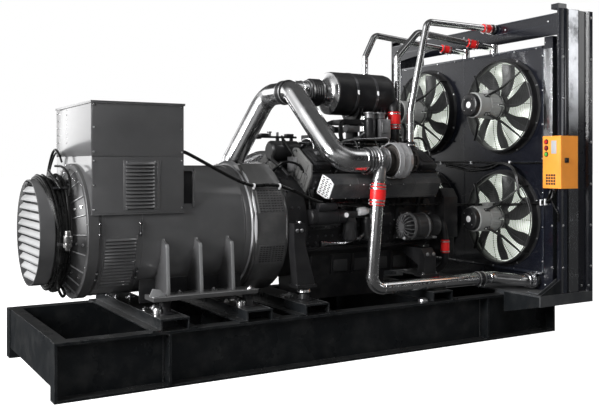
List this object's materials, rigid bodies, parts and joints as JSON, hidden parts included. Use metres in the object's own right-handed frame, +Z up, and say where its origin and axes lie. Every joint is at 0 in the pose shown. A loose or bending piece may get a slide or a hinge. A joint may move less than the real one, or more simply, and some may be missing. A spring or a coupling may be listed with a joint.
{
  "type": "diesel generator set",
  "caption": "Open industrial diesel generator set: a large engine and alternator in line on a welded steel base frame, with a tall electric-fan radiator and an orange control box.",
  "frame": {"origin": "middle of the whole set's outline, on the ground under the base beams", "axes": "+X along the set from the alternator to the radiator, +Y across it away from the control box side, +Z up"},
  "size_m": [4.1, 2.223, 2.629],
  "materials": {
    "base_paint": "satin black paint with worn grey edges",
    "deck_paint": "semi-gloss grey paint",
    "mount_rubber": "matt black",
    "alternator_paint": "satin dark grey enamel",
    "slat_paint": "satin light grey",
    "cable_black": "satin black sheath",
    "brass": "dull plated",
    "engine_paint": "semi-gloss black enamel",
    "sump_paint": "semi-gloss black enamel",
    "cast_housing": "painted dark grey casting",
    "shield_grey": "textured dark grey",
    "shield_plate": "bright perforated sheet",
    "filter_black": "semi-gloss black",
    "bellows_rubber": "satin black",
    "polished_pipe": "polished stainless steel",
    "radiator_paint": "glossy blue-black",
    "core_metal": "fine fins, pale grey green",
    "fan_ring_black": "semi-gloss black",
    "motor_grey": "satin grey",
    "fan_black": "smooth black plastic",
    "box_orange": "semi-gloss orange"
  },
  "bodies": {
    "set": {"base_beam_near": "base_paint", "base_beam_far": "base_paint", "mounting_bearers": "base_paint", "shelf_brackets": "base_paint", "base_cross_members": "deck_paint", "radiator_shelf": "deck_paint", "vibration_mounts": "mount_rubber", "stator_housing": "alternator_paint", "alternator_feet": "alternator_paint", "rear_bell": "alternator_paint", "air_inlet_drum": "alternator_paint", "terminal_box_lower": "alternator_paint", "terminal_box_upper": "alternator_paint", "terminal_box_lid": "alternator_paint", "stator_louvre": "alternator_paint", "box_louvre": "alternator_paint", "inlet_slats": "slat_paint", "cable_coil": "cable_black", "fan_harness": "cable_black", "cable_connector": "brass", "engine_block": "engine_paint", "cylinder_heads": "engine_paint", "rocker_covers": "engine_paint", "engine_supports": "engine_paint", "intake_manifold": "engine_paint", "charging_unit": "engine_paint", "front_cover": "engine_paint", "breather": "engine_paint", "filter_cradle": "engine_paint", "oil_sump": "sump_paint", "drive_housing": "sump_paint", "crank_pulley": "sump_paint", "turbochargers": "cast_housing", "exhaust_shields": "shield_grey", "shield_end_plates": "shield_plate", "turbine_shields": "shield_plate", "air_filter": "filter_black", "filter_outlet": "bellows_rubber", "intake_pipe_near": "polished_pipe", "intake_pipe_far": "polished_pipe", "charge_pipe_near": "polished_pipe", "charge_pipe_far": "polished_pipe", "coolant_pipe_main": "polished_pipe", "coolant_pipe_vent": "polished_pipe", "coolant_pipe_fill": "polished_pipe", "radiator_side_near": "radiator_paint", "radiator_side_far": "radiator_paint", "radiator_top_beam": "radiator_paint", "bottom_tank": "radiator_paint", "fan_panel": "radiator_paint", "radiator_core": "core_metal", "fan_rings": "fan_ring_black", "fan_motors": "motor_grey", "control_box": "box_orange"},
    "fan_1": {"fan_rotor_1": "fan_black"},
    "fan_2": {"fan_rotor_2": "fan_black"},
    "fan_3": {"fan_rotor_3": "fan_black"},
    "fan_4": {"fan_rotor_4": "fan_black"},
    "door": {"control_box_door": "box_orange"}
  },
  "joints": [
    {"name": "fan_1_spin", "type": "hinge", "parent": "set", "child": "fan_1", "pos_m": [1.602, -0.4615, 1.864], "axis": [1, 0, 0], "continuous": true},
    {"name": "fan_2_spin", "type": "hinge", "parent": "set", "child": "fan_2", "pos_m": [1.602, 0.5185, 1.864], "axis": [1, 0, 0], "continuous": true},
    {"name": "fan_3_spin", "type": "hinge", "parent": "set", "child": "fan_3", "pos_m": [1.602, -0.4615, 0.944], "axis": [1, 0, 0], "continuous": true},
    {"name": "fan_4_spin", "type": "hinge", "parent": "set", "child": "fan_4", "pos_m": [1.602, 0.5185, 0.944], "axis": [1, 0, 0], "continuous": true},
    {"name": "door_swing", "type": "hinge", "parent": "set", "child": "door", "pos_m": [1.822, -1.0965, 1.4], "axis": [0, 0, 1], "range_deg": [0, 110]}
  ]
}
